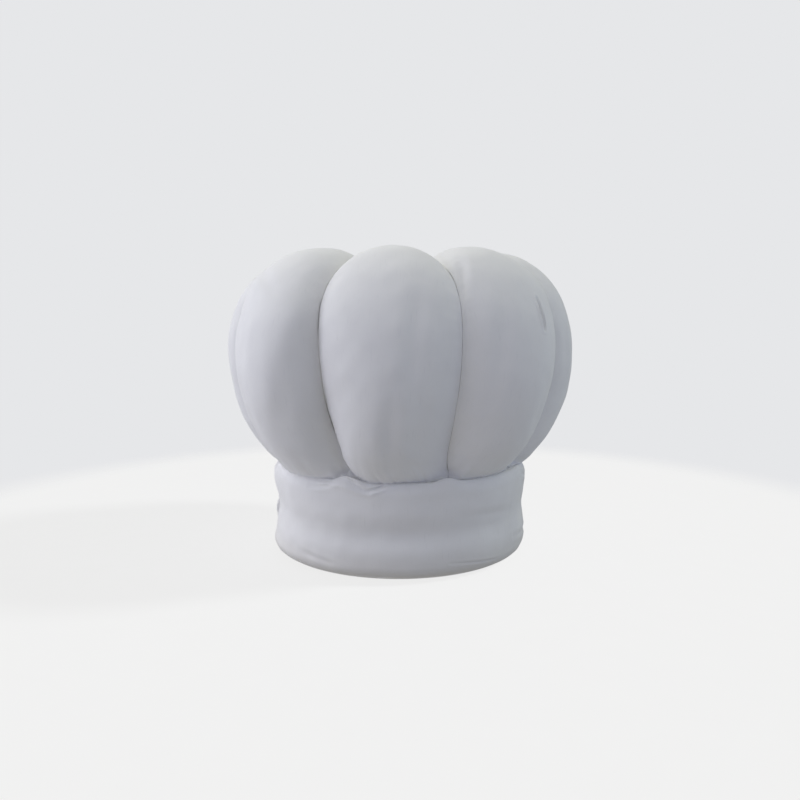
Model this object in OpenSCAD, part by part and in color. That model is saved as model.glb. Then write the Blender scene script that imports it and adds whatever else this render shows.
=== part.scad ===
// Chef toque: eight stuffed crown lobes on a padded headband with a rear strap closure.
// Millimetres. +Z is up and the origin is the centre of the band's bottom plane.
// The front faces -Y and the adjustable closure is at the rear, on +Y.

/* [Fit] */
// Radius of the head opening inside the sweatband, for a 58 cm head
head_r = 92; // [84:0.5:102]
// Height of the headband
band_h = 72; // [50:1:110]
// Outside radius of the headband where it is fullest
band_outer_r = 104.4; // [98:0.2:116]
// How far the headband draws in at its waist
band_waist = 2.4; // [0:0.1:5]

/* [Crown] */
// Half angle of the arc each lobe bulges through between its two seams
lobe_arc = 82; // [50:1:88]
// Thickness of the cotton panels
panel_t = 1.2; // [0.6:0.1:2]
// Thickness of the webs that pull the valleys in
web_t = 0.8; // [0.4:0.1:1.5]
// Facets across one lobe
lobe_across = 8; // [6:2:14]
// Facets along one lobe from band to tip
lobe_along = 20; // [10:1:24]

/* [Lining] */
// Height of the lining's straight wall
lining_wall_top = 100; // [90:1:120]
// Rise of the lining's dome above its wall
lining_dome_h = 58; // [40:1:64]
// Thickness of the lining cloth
lining_t = 0.7; // [0.4:0.1:1.2]

/* [Closure] */
// Half angle of the slit at the back of the headband
slit_half = 3.6; // [2:0.1:6]
// Width of the adjuster strap, measured up the band
strap_w = 26; // [18:1:34]
// Thickness of the adjuster strap
strap_t = 1.3; // [0.8:0.1:2]
// Angle the strap's base covers round the band
strap_span = 34; // [24:1:44]
// Angle the closure tab covers round the band
tab_span = 29; // [20:1:34]
// Radius of the closure tab's corners
tab_corner_r = 9; // [3:1:12]

/* [Top] */
// Radius of the covered button in the crown's dimple
button_r = 15.4; // [10:0.2:16]
// Radius of the cord that ties the covered button to its backing button
cord_r = 0.9; // [0.5:0.1:1.5]

/* [Hidden] */
$fn = 72;
eps = 0.05;
// Eight stuffed lobes go round the crown, each a node of its own
lobe_count = 8;
lobe_step = 360 / lobe_count;
half_step = lobe_step / 2;

// Lobe ridge, from its tuck in the band out, up and over into the dimple, as radius and height
ridge_points = [
    [96, 66], [98.6, 71.8], [109, 81.5], [125.6, 100], [137.6, 130],
    [141, 158], [137.4, 187], [123.5, 215], [100.2, 234],
    [74, 240], [49.5, 236], [27.5, 220], [17.6, 199]
];
// Valley between two lobes, station by station beside the ridge; it rises off the band so that
// each lobe ends in a rounded foot
valley_points = [
    [96, 66], [97.6, 88], [99, 93], [102.3, 101], [111.6, 119.5],
    [121.4, 150], [123.6, 181], [117, 203], [101, 219],
    [78.5, 223], [55, 216], [33.5, 200.5], [18.2, 187]
];
station_last = len(ridge_points) - 1;
// Station where the padding and the webs begin, just above the band
pad_station = 2.2;
pad_low = 91;
// The arc across a lobe opens from the band's own curve to the full bulge by this station
full_bulge_station = 1.3;

// Clearances between layers
web_gap = 0.6;
wadding_inset = panel_t + 1.8;
wadding_web_gap = 0.8;
wadding_lining_gap = 0.9;
web_steps = 22;
web_trim = 0.3;
web_lining_gap = 0.8;

// Headband layers, measured from the axis outwards
sweat_t = 1.3;
sweat_low = 5;
sweat_high = 63;
cover_in_r = head_r + sweat_t + 0.3;
cover_t = 1;
cover_leg_top = 63.5;
hem_in_round = 1.6;
hem_flat_r = 96.2;
hem_round_h = 11;
lip_r = 100;
lip_round_h = 9;
waist_z = 40;
waist_spread = 12;
buckram_in_r = cover_in_r + cover_t + 0.3;
buckram_t = 1;
buckram_low = 6;
buckram_high = 64;
pad_in_r = buckram_in_r + buckram_t + 0.6;
pad_inset = cover_t + 0.3;
pad_top = 66;
tape_in_r = head_r + 0.8;
tape_t = 0.6;
tape_low = sweat_high + 0.5;
tape_high = tape_low + 6;
binding_span = 0.5;
binding_gap = 0.1;
binding_lip_low = 1.6;
binding_pad_low = 0.5;
band_start = slit_half + binding_span + binding_gap;
band_sweep = 360 - 2 * band_start;

// Lining: the padding follows its wall for a share of the way, then the dome up to dome_reach
wall_share = 0.16;
dome_reach = 80;
lining_r = cover_in_r + 0.6;
lining_low = 65;
lining_split = 0.3;
dome_steps = 18;
cord_hole_r = cord_r + 0.2;

// Thread
thread_r = 0.35;
crown_thread_z = band_h + thread_r + eps;
crown_thread_r = 101.2;
hem_thread_r = cover_in_r - 0.7;
hem_thread_z = sweat_low - 0.6;

// Closure layers, measured outwards from the band's surface
loop_lift = 0.15;
loop_t = 1;
hook_lift = loop_lift + loop_t + 0.3;
hook_t = 0.9;
strap_lift = hook_lift + hook_t + eps;
casing_lift = strap_lift + strap_t + 0.4;
casing_t = 1;
casing_flange = 3.4;
casing_gap = 0.6;
strap_low = waist_z - strap_w / 2;
strap_high = waist_z + strap_w / 2;
profile_steps = 10;
rear = 90;
strap_end = rear + 0.5;
tab_start = rear + 1.3;
tab_mid = tab_start + tab_span / 2;
hook_inset = 2;
hook_start = tab_start + 9;
hook_span = 18;
loop_start = rear + 5.5;
loop_span = 36.5;
loop_inset = 1;
casing_start = rear - 28;
casing_span = 20;
thread_lift = strap_lift + strap_t + thread_r + eps;
stitch_span = 1.1;
stitch_pitch = 2;
stitch_count = 9;
stitch_inset = 3;

// Care label on the lining's wall
label_start = rear - 44;
label_span = 20;
label_t = 0.3;
label_low = 74;
label_high = 92;

// Covered button, cord and backing button in the crown's centre
button_low = 183;
button_edge_h = 3;
button_dome_h = 5;
backing_r = 9;
backing_t = 2.4;
backing_top = lining_wall_top + lining_dome_h - 1.4;
button_hole_r = cord_r + 0.1;
button_hole_depth = 2;
cord_low = backing_top - backing_t + 1;
cord_high = button_low + 1.5;

// Smooth curve through a list of points at station t, by Catmull and Rom's rule
function knot(list, i) = list[max(0, min(station_last, i))];
function smooth(p0, p1, p2, p3, f) =
    0.5 * (2 * p1 + (p2 - p0) * f + (2 * p0 - 5 * p1 + 4 * p2 - p3) * pow(f, 2)
        + (3 * p1 - p0 - 3 * p2 + p3) * pow(f, 3));
function curve(list, t) =
    let (i = min(floor(t), station_last - 1))
    smooth(knot(list, i - 1), knot(list, i), knot(list, i + 1), knot(list, i + 2), t - i);

// Unit normal of the ridge at station t, pointing out of the lobe
function ridge_normal(t) =
    let (
        a = curve(ridge_points, max(t - 0.1, 0)),
        b = curve(ridge_points, min(t + 0.1, station_last)),
        d = b - a
    )
    [d[1], -d[0]] / norm(d);

// Half angle of the arc across a lobe at station t
function arc_at(t) =
    let (f = min(t / full_bulge_station, 1))
    half_step + (lobe_arc - half_step) * f * f * (3 - 2 * f);

// Point on the lobe that faces -Y, inset from its surface; across runs from -1 to 1
function lobe_point(inset, t, across) =
    let (
        arc = arc_at(t),
        n = ridge_normal(t) * inset,
        ridge = curve(ridge_points, t) - n,
        valley = curve(valley_points, t) - n,
        mid = [valley[0] * cos(half_step), valley[1]],
        half_chord = valley[0] * sin(half_step) - web_gap - inset,
        bulge = (cos(arc * across) - cos(arc)) / (1 - cos(arc)),
        reach = sin(arc * across) / sin(arc),
        rz = mid + (ridge - mid) * bulge
    )
    [half_chord * reach, -rz[0], rz[1]];

// Outline of the lining above the band as f runs from 0 to 1: its wall, then most of its dome
function lining_curve(lift, f) =
    let (r = lining_r + lift)
    f < wall_share
        ? [r, pad_low + (lining_wall_top - pad_low) * f / wall_share]
        : let (a = dome_reach * (f - wall_share) / (1 - wall_share))
          [r * cos(a), lining_wall_top + (lining_dome_h + lift) * sin(a)];

// Station reached as f runs from 0 to 1 along a lobe's padding
function pad_t(f) = pad_station + (station_last - pad_station) * f;

// Inner face of a wadding pad, lying round the lining
function pad_back(f, across) =
    let (
        p = lining_curve(wadding_lining_gap, f),
        x = across * (p[0] * sin(half_step) - wadding_web_gap)
    )
    [x, -sqrt(p[0] * p[0] - x * x), p[1]];

// Closed solid between two grids of points that share their outline's order
module between(front, back, along, across) {
    row = across + 1;
    size = (along + 1) * row;
    pts = concat(
        [for (j = [0:along]) for (i = [0:across]) front[j][i]],
        [for (j = [0:along]) for (i = [0:across]) back[j][i]]
    );
    faces = concat(
        [for (j = [0:along - 1]) for (i = [0:across - 1]) for (k = [0:1])
            let (a = j * row + i)
            k == 0 ? [a, a + row, a + 1] : [a + 1, a + row, a + row + 1]],
        [for (j = [0:along - 1]) for (i = [0:across - 1]) for (k = [0:1])
            let (a = size + j * row + i)
            k == 0 ? [a, a + 1, a + row] : [a + 1, a + row + 1, a + row]],
        [for (j = [0:along - 1]) for (k = [0:1])
            let (a = j * row)
            k == 0 ? [a, size + a, a + row] : [a + row, size + a, size + a + row]],
        [for (j = [0:along - 1]) for (k = [0:1])
            let (a = j * row + across)
            k == 0 ? [a, a + row, size + a] : [a + row, size + a + row, size + a]],
        [for (i = [0:across - 1]) for (k = [0:1])
            k == 0 ? [i, i + 1, size + i] : [i + 1, size + i + 1, size + i]],
        [for (i = [0:across - 1]) for (k = [0:1])
            let (a = along * row + i)
            k == 0 ? [a, size + a, a + 1] : [a + 1, size + a, size + a + 1]]
    );
    polyhedron(points = pts, faces = faces, convexity = 6);
}

module gore(number) {
    front = [for (j = [0:lobe_along]) [for (i = [0:lobe_across])
        lobe_point(0, station_last * j / lobe_along, 2 * i / lobe_across - 1)]];
    back = [for (j = [0:lobe_along]) [for (i = [0:lobe_across])
        lobe_point(panel_t, station_last * j / lobe_along, 2 * i / lobe_across - 1)]];
    rotate([0, 0, lobe_step * (number - 1)])
        between(front, back, lobe_along, lobe_across);
}

module wadding(number) {
    front = [for (j = [0:lobe_along]) [for (i = [0:lobe_across])
        lobe_point(wadding_inset, pad_t(j / lobe_along), 2 * i / lobe_across - 1)]];
    back = [for (j = [0:lobe_along]) [for (i = [0:lobe_across])
        pad_back(j / lobe_along, 2 * i / lobe_across - 1)]];
    rotate([0, 0, lobe_step * (number - 1)])
        between(front, back, lobe_along, lobe_across);
}

// Web in the valley after lobe number, between the valley seam and the lining
module baffle(number) {
    valley = [for (j = [0:web_steps])
        let (t = pad_t(j / web_steps))
        curve(valley_points, t) - ridge_normal(t) * web_trim];
    lining = [for (j = [web_steps:-1:0]) lining_curve(web_lining_gap, j / web_steps)];
    rotate([0, 0, lobe_step * (number - 1) + half_step - 90])
        rotate([90, 0, 0])
            translate([0, 0, -web_t / 2])
                linear_extrude(web_t)
                    polygon(concat(valley, lining));
}

// Band surface radius at height z, fullest low down and drawn in at the waist
function band_r(z) = band_outer_r - band_waist * exp(-pow((z - waist_z) / waist_spread, 2));

// The band's section at a depth below its surface, from the hem's flat to the top lip
function band_face(depth) =
    let (
        hem_w = band_r(hem_round_h) - hem_flat_r - depth,
        lip_low = band_h - lip_round_h,
        lip_w = band_r(lip_low) - lip_r - depth
    )
    concat(
        [for (a = [0:15:90])
            [hem_flat_r + hem_w * sin(a), hem_round_h - (hem_round_h - depth) * cos(a)]],
        [for (i = [1:profile_steps])
            let (z = hem_round_h + (lip_low - hem_round_h) * i / profile_steps)
            [band_r(z) - depth, z]],
        [for (a = [15:15:90])
            [lip_r + lip_w * cos(a), lip_low + (lip_round_h - depth) * sin(a)]]
    );

// Inner leg of the cover and the small round where it turns under
function band_leg(depth) =
    let (round_r = hem_in_round - depth, c = cover_in_r + hem_in_round)
    concat(
        [[cover_in_r + depth, cover_leg_top]],
        [for (a = [0:30:90]) [c - round_r * cos(a), hem_in_round - round_r * sin(a)]]
    );

function reversed(list) = [for (i = [len(list) - 1:-1:0]) list[i]];

// Sweeps a section round the band, all but the slit at the back
module round_band() {
    rotate([0, 0, rear + band_start])
        rotate_extrude(angle = band_sweep)
            children();
}

module band_cover() {
    outer = concat(band_leg(0), band_face(0));
    inner = concat(band_leg(cover_t), band_face(cover_t));
    color("white")
        round_band()
            polygon(concat(outer, reversed(inner)));
}

module band_wadding() {
    color("ivory")
        round_band()
            polygon(concat(
                [[pad_in_r, pad_top], [pad_in_r, pad_inset + eps]],
                [for (p = band_face(pad_inset)) if (p[0] > pad_in_r + eps) p]
            ));
}

module ring_section(inner_r, t, low, high) {
    translate([inner_r, low])
        square([t, high - low]);
}

module band_stiffener() {
    color("gainsboro")
        round_band()
            ring_section(buckram_in_r, buckram_t, buckram_low, buckram_high);
}

module sweatband() {
    color("white")
        round_band()
            ring_section(head_r, sweat_t, sweat_low, sweat_high);
}

module seam_tape() {
    color("whitesmoke")
        rotate_extrude()
            ring_section(tape_in_r, tape_t, tape_low, tape_high);
}

module thread_ring(r, z) {
    rotate_extrude()
        translate([r, z])
            circle(thread_r);
}

module crown_stitching() {
    color("white")
        thread_ring(crown_thread_r, crown_thread_z);
}

module hem_stitching() {
    color("white")
        round_band()
            translate([hem_thread_r, hem_thread_z])
                circle(thread_r);
}

// Filled section of the band, for the strips that bind the two edges of the slit
module band_section() {
    polygon(concat(
        band_leg(0),
        band_face(0),
        [
            [lip_r, band_h - binding_lip_low],
            [pad_in_r, pad_top - binding_pad_low],
            [cover_in_r, buckram_high]
        ]
    ));
}

module slit_binding() {
    color("white")
        for (start = [rear - slit_half - binding_span, rear + slit_half])
            rotate([0, 0, start])
                rotate_extrude(angle = binding_span)
                    band_section();
}

module lining_side() {
    color("white")
        rotate_extrude()
            ring_section(lining_r - lining_t, lining_t, lining_low, lining_wall_top);
}

module lining_tip() {
    outer = [for (i = [0:dome_steps])
        let (b = 90 * i / dome_steps)
        [max(lining_r * cos(b), cord_hole_r),
            lining_wall_top + lining_split + lining_dome_h * sin(b)]];
    inner = [for (i = [dome_steps:-1:0])
        let (b = 90 * i / dome_steps)
        [max((lining_r - lining_t) * cos(b), cord_hole_r),
            lining_wall_top + lining_split + (lining_dome_h - lining_t) * sin(b)]];
    color("white")
        rotate_extrude()
            polygon(concat(outer, inner));
}

module top_button() {
    color("white")
        difference() {
            union() {
                translate([0, 0, button_low])
                    cylinder(r = button_r, h = button_edge_h);
                translate([0, 0, button_low + button_edge_h])
                    scale([1, 1, button_dome_h / button_r])
                        intersection() {
                            sphere(button_r);
                            cylinder(r = button_r + 1, h = button_r + 1);
                        }
            }
            translate([0, 0, button_low - 1])
                cylinder(r = button_hole_r, h = button_hole_depth + 1);
        }
}

module button_cord() {
    color("white")
        translate([0, 0, cord_low])
            cylinder(r = cord_r, h = cord_high - cord_low);
}

module backing_button() {
    color("white")
        difference() {
            translate([0, 0, backing_top - backing_t])
                cylinder(r = backing_r, h = backing_t);
            translate([0, 0, backing_top - backing_t - 1])
                cylinder(r = button_hole_r, h = backing_t + 2);
        }
}

// Strip section lying on the band between two heights, lifted off its surface
module strip_section(lift, t, low, high) {
    step = (high - low) / profile_steps;
    polygon(concat(
        [for (i = [0:profile_steps]) [band_r(low + step * i) + lift, low + step * i]],
        [for (i = [profile_steps:-1:0]) [band_r(low + step * i) + lift + t, low + step * i]]
    ));
}

module round_part(start, span) {
    rotate([0, 0, start])
        rotate_extrude(angle = span)
            children();
}

module strap_casing() {
    low = strap_low - casing_gap - casing_flange;
    high = strap_high + casing_gap + casing_flange;
    color("white")
        round_part(casing_start, casing_span)
            union() {
                strip_section(casing_lift, casing_t, low, high);
                strip_section(eps, casing_lift, low, low + casing_flange);
                strip_section(eps, casing_lift, high - casing_flange, high);
            }
}

module loop_strip() {
    color("white")
        round_part(loop_start, loop_span)
            strip_section(loop_lift, loop_t, strap_low + loop_inset, strap_high - loop_inset);
}

module adjuster_strap() {
    color("white")
        round_part(strap_end - strap_span, strap_span)
            strip_section(strap_lift, strap_t, strap_low, strap_high);
}

// Outline of the tab with its two end corners cut round, extended past the strap's own edges
module tab_outline() {
    length = 1.1 * band_outer_r * PI * tab_span / 180;
    over = 1;
    reach = 20;
    corner = [for (a = [0:15:90])
        [(tab_corner_r + over) * sin(a) - tab_corner_r,
            strap_w / 2 - tab_corner_r + (tab_corner_r + over) * cos(a)]];
    mirrored = [for (p = reversed(corner)) [p[0], -p[1]]];
    rotate([0, 0, tab_start + tab_span])
        translate([band_outer_r - reach, 0, waist_z])
            rotate([90, 0, 90])
                linear_extrude(2 * reach)
                    polygon(concat(
                        [[-length, strap_w / 2 + over]],
                        corner,
                        mirrored,
                        [[-length, -strap_w / 2 - over]]
                    ));
}

module closure_tab() {
    color("white")
        intersection() {
            round_part(tab_start, tab_span)
                strip_section(strap_lift, strap_t, strap_low, strap_high);
            tab_outline();
        }
}

module hook_strip() {
    color("whitesmoke")
        round_part(hook_start, hook_span)
            strip_section(hook_lift, hook_t, strap_low + hook_inset, strap_high - hook_inset);
}

// Row of short thread stitches that hold the hook strip, above and below it
module tab_stitching() {
    color("white")
        for (z = [strap_low + stitch_inset, strap_high - stitch_inset])
            for (i = [0:stitch_count - 1])
                round_part(hook_start + 0.5 + stitch_pitch * i, stitch_span)
                    translate([band_r(z) + thread_lift, z])
                        circle(thread_r);
}

module care_label() {
    color("whitesmoke")
        round_part(label_start, label_span)
            ring_section(lining_r - lining_t - label_t - eps, label_t, label_low, label_high);
}

module gore_1() { color("white") gore(1); }
module gore_2() { color("white") gore(2); }
module gore_3() { color("white") gore(3); }
module gore_4() { color("white") gore(4); }
module gore_5() { color("white") gore(5); }
module gore_6() { color("white") gore(6); }
module gore_7() { color("white") gore(7); }
module gore_8() { color("white") gore(8); }
module wadding_1() { color("ivory") wadding(1); }
module wadding_2() { color("ivory") wadding(2); }
module wadding_3() { color("ivory") wadding(3); }
module wadding_4() { color("ivory") wadding(4); }
module wadding_5() { color("ivory") wadding(5); }
module wadding_6() { color("ivory") wadding(6); }
module wadding_7() { color("ivory") wadding(7); }
module wadding_8() { color("ivory") wadding(8); }
module baffle_1() { color("linen") baffle(1); }
module baffle_2() { color("linen") baffle(2); }
module baffle_3() { color("linen") baffle(3); }
module baffle_4() { color("linen") baffle(4); }
module baffle_5() { color("linen") baffle(5); }
module baffle_6() { color("linen") baffle(6); }
module baffle_7() { color("linen") baffle(7); }
module baffle_8() { color("linen") baffle(8); }

gore_1();
gore_2();
gore_3();
gore_4();
gore_5();
gore_6();
gore_7();
gore_8();
wadding_1();
wadding_2();
wadding_3();
wadding_4();
wadding_5();
wadding_6();
wadding_7();
wadding_8();
baffle_1();
baffle_2();
baffle_3();
baffle_4();
baffle_5();
baffle_6();
baffle_7();
baffle_8();
lining_side();
lining_tip();
top_button();
button_cord();
backing_button();
band_cover();
band_wadding();
band_stiffener();
sweatband();
seam_tape();
crown_stitching();
hem_stitching();
slit_binding();
strap_casing();
loop_strip();
care_label();
adjuster_strap();
closure_tab();
hook_strip();
tab_stitching();
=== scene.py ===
import math

import bpy
import numpy as np
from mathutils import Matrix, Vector


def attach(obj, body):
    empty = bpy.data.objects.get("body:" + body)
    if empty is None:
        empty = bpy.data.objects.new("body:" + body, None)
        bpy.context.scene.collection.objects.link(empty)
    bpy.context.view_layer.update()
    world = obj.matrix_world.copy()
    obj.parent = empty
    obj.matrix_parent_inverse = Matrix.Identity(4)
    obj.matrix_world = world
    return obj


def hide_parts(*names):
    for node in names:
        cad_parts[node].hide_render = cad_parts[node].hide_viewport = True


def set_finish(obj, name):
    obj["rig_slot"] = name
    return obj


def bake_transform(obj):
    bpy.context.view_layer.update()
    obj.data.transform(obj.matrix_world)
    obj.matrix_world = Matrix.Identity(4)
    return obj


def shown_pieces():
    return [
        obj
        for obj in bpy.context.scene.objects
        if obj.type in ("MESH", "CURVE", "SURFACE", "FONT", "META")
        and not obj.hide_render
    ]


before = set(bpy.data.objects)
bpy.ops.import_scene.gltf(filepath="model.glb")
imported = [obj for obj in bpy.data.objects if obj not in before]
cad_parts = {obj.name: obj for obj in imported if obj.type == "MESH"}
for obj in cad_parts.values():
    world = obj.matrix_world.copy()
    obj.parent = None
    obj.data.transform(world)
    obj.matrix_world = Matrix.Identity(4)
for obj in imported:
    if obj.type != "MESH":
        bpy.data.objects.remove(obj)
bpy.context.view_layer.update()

MM = 0.001

# ---------------------------------------------------------------- shape of the hat, in millimetres
LOBES = 8
HALF_DEGREES = 180 / LOBES
HALF = math.radians(HALF_DEGREES)
# Ridge of a lobe and valley between two lobes, from the band up into the dimple, as radius and height
RIDGE = np.array([
    (96, 66), (99.0, 71.8), (109.2, 80.4), (125.6, 100), (137.6, 130), (141, 158), (137.4, 187),
    (123.5, 215), (100.2, 234), (74, 240), (49.5, 236), (27.5, 220), (17.6, 199)], float)
VALLEY = np.array([
    (94.9, 66), (94.9, 77), (96.2, 86.5), (101.4, 99), (111.6, 119.5), (121.4, 150), (123.6, 181),
    (117, 203), (101, 219), (78.5, 223), (55, 216), (33.5, 200.5), (18.2, 187)], float)
STATIONS = len(RIDGE) - 1
# Station by which a lobe has opened from the band's own curve to its full bulge
FULL_BULGE = 0.5
HEAD_R = 92.0
BAND_H = 72.0
BAND_R = 104.4
BAND_WAIST = 2.4
WAIST_Z = 40.0
WAIST_SPREAD = 12.0
# The rear, as an angle counted from +X, and the slit's half angle
REAR = 90.0
SLIT_HALF = 3.6
COVER_IN = 93.6
COVER_T = 1.0
LEG_TOP = 63.5
LEG_ROUND = 1.6
HEM_FLAT = 96.2
HEM_ROUND_H = 11.0
LIP_R = 98.4
LIP_ROUND_H = 9.0
LINING_R = 94.2
LINING_T = 0.6
WALL_TOP = 100.0
DOME_H = 58.0
# Station where the stuffing and the webs begin, the webs' thickness, and how far they stop short of the seam
PAD_STATION = 2.2
WEB_T = 0.3
WEB_SHORT = 0.3


def spline(points, t):
    """Catmull-Rom curve through points, at stations t."""
    i = np.minimum(np.floor(t).astype(int), STATIONS - 1)
    f = (t - i)[..., None]
    p = [points[np.clip(i + k, 0, STATIONS)] for k in (-1, 0, 1, 2)]
    return 0.5 * (2 * p[1] + (p[2] - p[0]) * f + (2 * p[0] - 5 * p[1] + 4 * p[2] - p[3]) * f ** 2
                  + (3 * p[1] - p[0] - 3 * p[2] + p[3]) * f ** 3)


def bump(x, centre, width):
    return np.exp(-((x - centre) / width) ** 2)


def smoothstep(x, low, high):
    t = np.clip((x - low) / (high - low), 0, 1)
    return t * t * (3 - 2 * t)


def between(x, low, full, fall, out):
    """Rises from 0 at low to 1 at full, and falls from 1 at fall to 0 at out."""
    return smoothstep(x, low, full) * (1 - smoothstep(x, fall, out))


def rounded(share, least=0.0):
    """Height of a quarter-round edge, 0 to 1, at a share of its width in from the rim."""
    return np.sqrt(np.maximum(1 - (1 - np.minimum(share, 1)) ** 2, least))


def waves(a, b, count, low, high, seed):
    """Smooth, repeatable unevenness, about -1 to 1: plane waves of random direction. a and b are in mm."""
    r = np.random.default_rng(seed)
    total = np.zeros(np.broadcast(a, b).shape)
    for _ in range(count):
        length = np.exp(r.uniform(math.log(low), math.log(high)))
        turn, phase = r.uniform(0, 2 * math.pi, 2)
        total += np.sin(2 * math.pi / length * (a * math.cos(turn) + b * math.sin(turn)) + phase)
    return total / math.sqrt(count)


def to_line(x, y, start, stop):
    """Distance from points to a straight line between two points, and how far along it they lie, 0 to 1."""
    d = np.array(stop, float) - start
    along = np.clip(((x - start[0]) * d[0] + (y - start[1]) * d[1]) / (d @ d), 0, 1)
    return np.hypot(x - start[0] - along * d[0], y - start[1] - along * d[1]), along


def fold(x, y, start, stop, width, depth, lip=0.45):
    """A crease along a line: sunk by depth, with a low ridge either side, fading out at both ends."""
    dist, along = to_line(x, y, start, stop)
    fade = np.sin(np.pi * np.clip(along, 0.04, 0.96)) ** 0.6
    return fade * depth * (lip * np.exp(-((dist - 1.9 * width) / width) ** 2) - np.exp(-(dist / width) ** 2))


def run_length(points):
    """Distance along a path of points, from its start."""
    return np.concatenate([[0], np.cumsum(np.linalg.norm(np.diff(points, axis=0), axis=1))])


# ---------------------------------------------------------------- mesh helpers
def piece(name, node, slot, parts):
    """A visible piece for a CAD node, from parts of (points in mm, faces, uv in mm, material number)."""
    verts, faces, uvs, numbers, start = [], [], [], [], 0
    for points, part_faces, uv, number in parts:
        points = np.asarray(points, float).reshape(-1, 3)
        verts.append(points)
        faces.extend([[int(i) + start for i in face] for face in part_faces])
        uvs.append(np.asarray(uv, float).reshape(-1, 2))
        numbers.extend([number] * len(part_faces))
        start += len(points)
    mesh = bpy.data.meshes.new(name)
    mesh.from_pydata((np.concatenate(verts) * MM).tolist(), [], faces)
    layer = mesh.uv_layers.new(name="cloth")
    loops = np.zeros(len(mesh.loops), np.int32)
    mesh.loops.foreach_get("vertex_index", loops)
    layer.data.foreach_set("uv", (np.concatenate(uvs) * MM)[loops].astype(np.float32).ravel())
    mesh.polygons.foreach_set("use_smooth", np.full(len(mesh.polygons), True))
    mesh.polygons.foreach_set("material_index", np.array(numbers, np.int32))
    mesh.update()
    obj = bpy.data.objects.new(name, mesh)
    bpy.context.scene.collection.objects.link(obj)
    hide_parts(node)
    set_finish(obj, slot)
    return obj


def grid_faces(rows, cols, close_cols=False, close_rows=False, flip=False):
    j, i = np.meshgrid(np.arange(rows if close_rows else rows - 1),
                       np.arange(cols if close_cols else cols - 1), indexing="ij")
    a = j * cols + i
    b = j * cols + (i + 1) % cols
    c = ((j + 1) % rows) * cols + (i + 1) % cols
    d = ((j + 1) % rows) * cols + i
    order = [a, d, c, b] if flip else [a, b, c, d]
    return np.stack(order, -1).reshape(-1, 4).tolist()


def sheet_pair(rows, cols, flip=False):
    """Faces of a closed shell: two sheets of points, one after the other, joined round their edge."""
    size = rows * cols
    edge = [j * cols for j in range(rows)] + [(rows - 1) * cols + i for i in range(1, cols)] \
        + [j * cols + cols - 1 for j in range(rows - 2, -1, -1)] + list(range(cols - 2, 0, -1))
    faces = grid_faces(rows, cols, flip=flip)
    faces += [[i + size for i in face] for face in grid_faces(rows, cols, flip=not flip)]
    return faces + [[a, b, b + size, a + size] if flip else [a, a + size, b + size, b]
                    for a, b in zip(edge, edge[1:] + edge[:1])]


def both_ends(rows, cols, caps=None):
    """Faces over a tube's first ring, and the same faces turned round over its last."""
    caps = caps or [list(range(cols))]
    return caps + [[(rows - 1) * cols + i for i in face][::-1] for face in caps]


def grid_normals(p):
    """Unit normals of a grid of points [rows, cols, 3]."""
    n = np.cross(np.gradient(p, axis=1), np.gradient(p, axis=0))
    return n / np.maximum(np.linalg.norm(n, axis=-1, keepdims=True), 1e-9)


def cloth_uv(p):
    """Arc lengths across and along a grid of points, in mm, across measured from its middle column."""
    rows, cols = p.shape[:2]
    steps_along, steps_across = (np.linalg.norm(np.diff(p, axis=k), axis=-1) for k in (0, 1))
    along = np.concatenate([np.zeros((1, cols)), np.cumsum(steps_along, 0)])
    across = np.concatenate([np.zeros((rows, 1)), np.cumsum(steps_across, 1)], 1)
    middle = slice(cols // 2, cols // 2 + 1)
    return np.stack([across - across[:, middle], np.repeat(along[:, middle], cols, 1)], -1)


def polar(r, azimuth, z):
    """Point at a radius and an azimuth in degrees, counted from the front (-Y) towards +X."""
    a = np.radians(azimuth)
    return np.stack(np.broadcast_arrays(r * np.sin(a), -r * np.cos(a), z), -1)


def at_angle(r, angle, z):
    """Point at a radius and an angle in degrees counted from +X towards +Y."""
    return polar(r, angle + 90, z)


def round_uv(azimuth, radius, length):
    """Cloth uv of something that goes round the hat: arc length at a radius, and length across it."""
    return np.stack(np.broadcast_arrays(np.radians(azimuth) * radius, length), -1)


def spread(path, azimuth):
    """Radius and height of each point of a path at each azimuth, as two grids."""
    return path[None, :, 0] + 0 * azimuth, path[None, :, 1] + 0 * azimuth


def slit_to_slit(margin, count):
    """Azimuths right round the band, from a margin past the slit to a margin short of it."""
    start, stop = REAR + SLIT_HALF + margin, REAR + 360 - SLIT_HALF - margin
    return np.linspace(start, stop, count)[:, None] + 90


def eased(low, high, count, edge, steps=4):
    """Samples from low to high, packed closer inside the two edges."""
    rim = edge * (1 - np.cos(np.linspace(0, math.pi / 2, steps + 1)))[:-1]
    return np.concatenate([low + rim, np.linspace(low + edge, high - edge, count), (high - rim)[::-1]])


def lathe(profile, count, ripple=None):
    """A turned part from (radius, height) points; ripple(angle, r, z) moves it along its radius."""
    profile = np.asarray(profile, float)
    angle = np.linspace(0, 360, count, endpoint=False)[None]
    r, z = profile[:, :1] + 0 * angle, profile[:, 1:] + 0 * angle
    if ripple is not None:
        r = r + ripple(angle, r, z)
    uv = round_uv(angle, r, run_length(profile)[:, None])
    return polar(r, angle, z), grid_faces(len(profile), count, close_cols=True), uv, 0


STITCH_RINGS = 5
STITCH_SIDES = 6


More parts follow.
